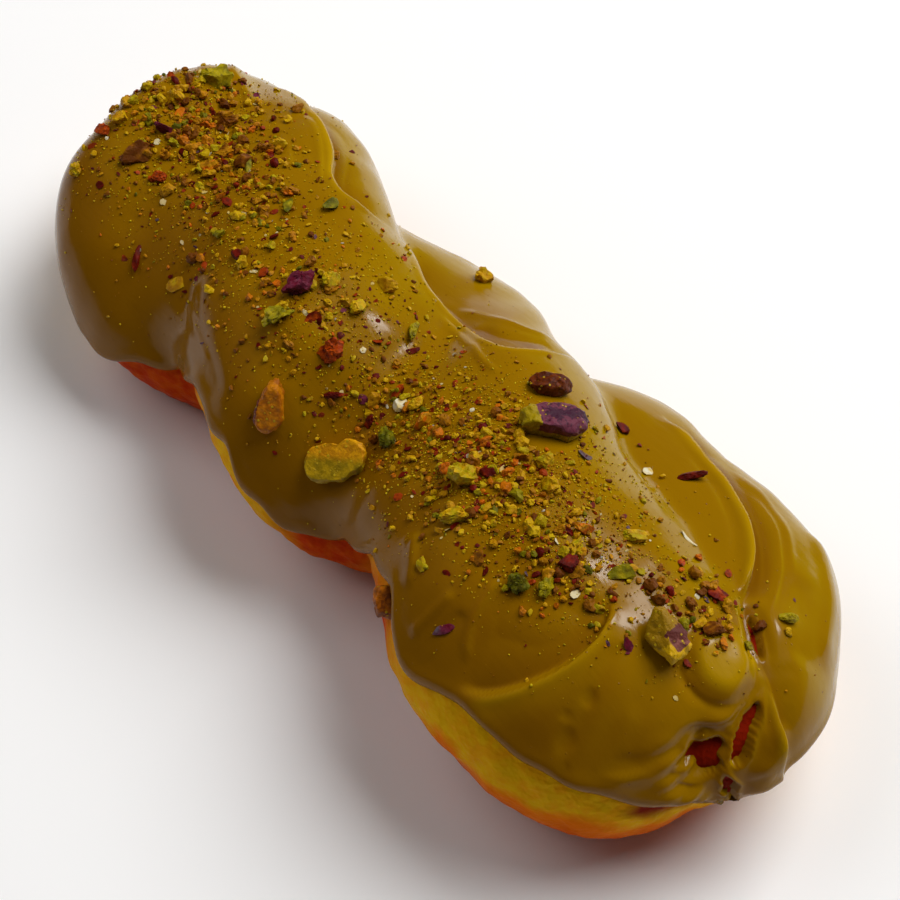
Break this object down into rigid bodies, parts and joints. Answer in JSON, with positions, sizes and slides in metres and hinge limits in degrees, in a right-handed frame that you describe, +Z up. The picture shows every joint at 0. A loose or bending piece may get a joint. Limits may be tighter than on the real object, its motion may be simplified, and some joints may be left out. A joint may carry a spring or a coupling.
{
  "type": "iced pastry twist",
  "caption": "Fried yeast dough twist with a glossy pistachio cream icing over its upper half and chopped pistachios on top.",
  "frame": {"origin": "middle of the bottom of the object's box, on the surface that it rests on", "axes": "+X along the twist to its thicker end, +Z up, -Y the side where more bare dough shows"},
  "size_m": [0.1882, 0.0786, 0.048],
  "materials": {
    "dough": "fried dough crust, satin, orange brown below and pale yellow beside the icing",
    "icing": "thick glossy pistachio cream, olive mustard",
    "pistachio": "cut pistachio kernel, dry and slightly waxy",
    "pistachio_skin": "papery pistachio skin, purple to brown, dusted with crumbs"
  },
  "bodies": {
    "root": {"dough": "dough", "icing": "icing", "pistachio_half": "pistachio", "pistachio_brown": "pistachio_skin", "pistachio_purple": "pistachio_skin", "pistachio_skinned": "pistachio_skin", "pistachio_chunk": "pistachio", "pistachio_notch": "pistachio_skin"}
  },
  "joints": []
}
